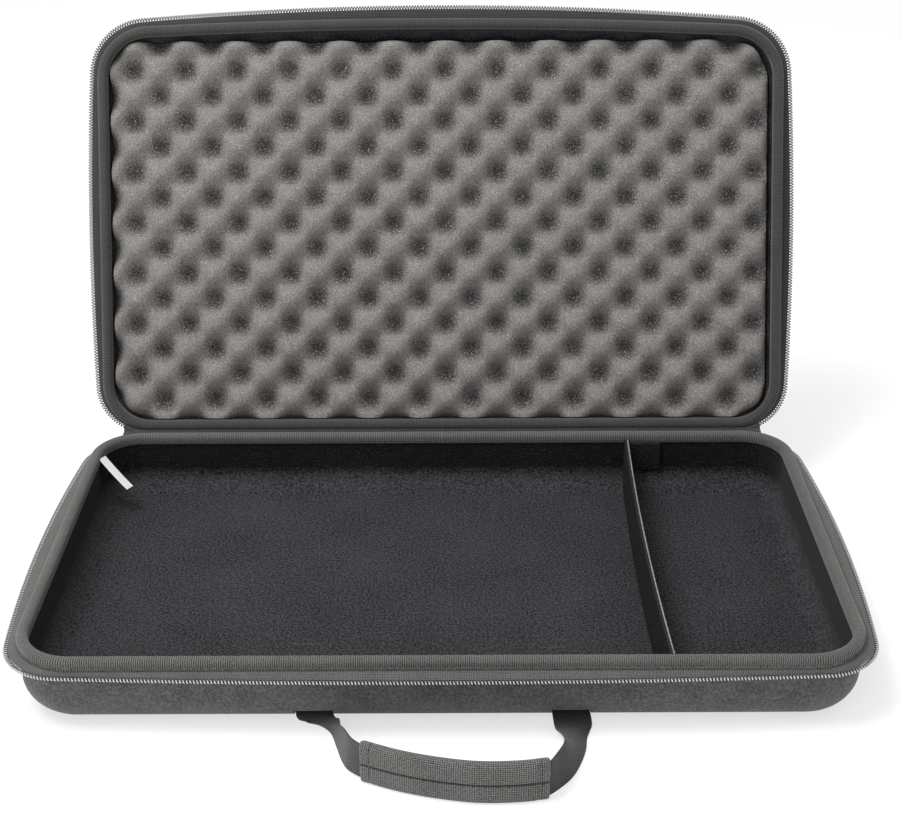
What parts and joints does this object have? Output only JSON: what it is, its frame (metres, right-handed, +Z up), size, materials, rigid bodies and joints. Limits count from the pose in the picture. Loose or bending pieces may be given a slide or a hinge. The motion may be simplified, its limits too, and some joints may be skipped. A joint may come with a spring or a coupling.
{
  "type": "dj controller case",
  "caption": "Soft zip-round carry case, open: deep tray with a movable divider, hinged lid with egg-crate foam, side carry handle.",
  "frame": {"origin": "centre of the tray's flat underside", "axes": "+X along the case's length to the viewer's right, -Y to the front edge with the carry handle, +Z up out of the open tray"},
  "size_m": [0.6524, 0.6083, 0.4135],
  "materials": {
    "cover_fabric": "woven, matt",
    "board": "matt",
    "lining_fleece": "brushed, matt",
    "binding_tape": "ribbed",
    "zip_fabric": "woven",
    "zip_coil": "satin",
    "zip_metal": "satin",
    "hinge_fabric": "woven",
    "foam": "open-cell, matt",
    "hook_tape": "hooked",
    "webbing": "woven",
    "grip_fabric": "woven",
    "grip_pad": "matt",
    "tag_white": "smooth"
  },
  "bodies": {
    "tray": {"tray_cover": "cover_fabric", "tray_core": "board", "tray_lining": "lining_fleece", "tray_binding": "binding_tape", "tray_zip_tape": "zip_fabric", "tray_zip_coil": "zip_coil", "tray_hinge_band": "hinge_fabric", "tray_label": "tag_white", "handle_anchor_left": "webbing", "handle_anchor_right": "webbing", "zip_chain_left": "zip_coil", "zip_chain_right": "zip_coil", "zip_stop_left": "zip_metal", "zip_stop_right": "zip_metal"},
    "lid": {"lid_cover": "cover_fabric", "lid_core": "board", "lid_lining": "lining_fleece", "lid_binding": "binding_tape", "lid_zip_tape": "zip_fabric", "lid_zip_coil": "zip_coil", "lid_foam": "foam", "lid_hinge_band": "hinge_fabric"},
    "divider": {"divider_board": "board", "divider_skin": "lining_fleece", "divider_hook_back": "hook_tape", "divider_hook_front": "hook_tape"},
    "slider_left": {"zip_slider_left": "zip_metal"},
    "slider_right": {"zip_slider_right": "zip_metal"},
    "pull_left": {"zip_pull_left": "zip_metal"},
    "pull_right": {"zip_pull_right": "zip_metal"},
    "handle": {"handle_strap_left": "webbing", "handle_strap_right": "webbing", "grip_core": "grip_pad", "grip_sleeve": "grip_fabric"}
  },
  "joints": [
    {"name": "lid_hinge", "type": "hinge", "parent": "tray", "child": "lid", "pos_m": [0, 0.1815, 0.061], "axis": [1, 0, 0], "range_deg": [0, 111.9]},
    {"name": "divider_slide", "type": "slide", "parent": "tray", "child": "divider", "axis": [1, 0, 0], "range_m": [-0.4, 0.065]},
    {"name": "slider_left_slide", "type": "slide", "parent": "tray", "child": "slider_left", "axis": [-1, 0, 0], "range_m": [0, 0.02]},
    {"name": "slider_right_slide", "type": "slide", "parent": "tray", "child": "slider_right", "axis": [1, 0, 0], "range_m": [0, 0.02]},
    {"name": "pull_left_swing", "type": "hinge", "parent": "slider_left", "child": "pull_left", "pos_m": [-0.239, 0.19354, 0.04319], "axis": [0, 0.8285, 0.5599], "range_deg": [-75, 75]},
    {"name": "pull_right_swing", "type": "hinge", "parent": "slider_right", "child": "pull_right", "pos_m": [0.239, 0.19354, 0.04319], "axis": [0, 0.8285, 0.5599], "range_deg": [-75, 75]},
    {"name": "handle_swing", "type": "hinge", "parent": "tray", "child": "handle", "pos_m": [0, -0.1535, 0.027], "axis": [-1, 0, 0], "range_deg": [0, 40]}
  ]
}
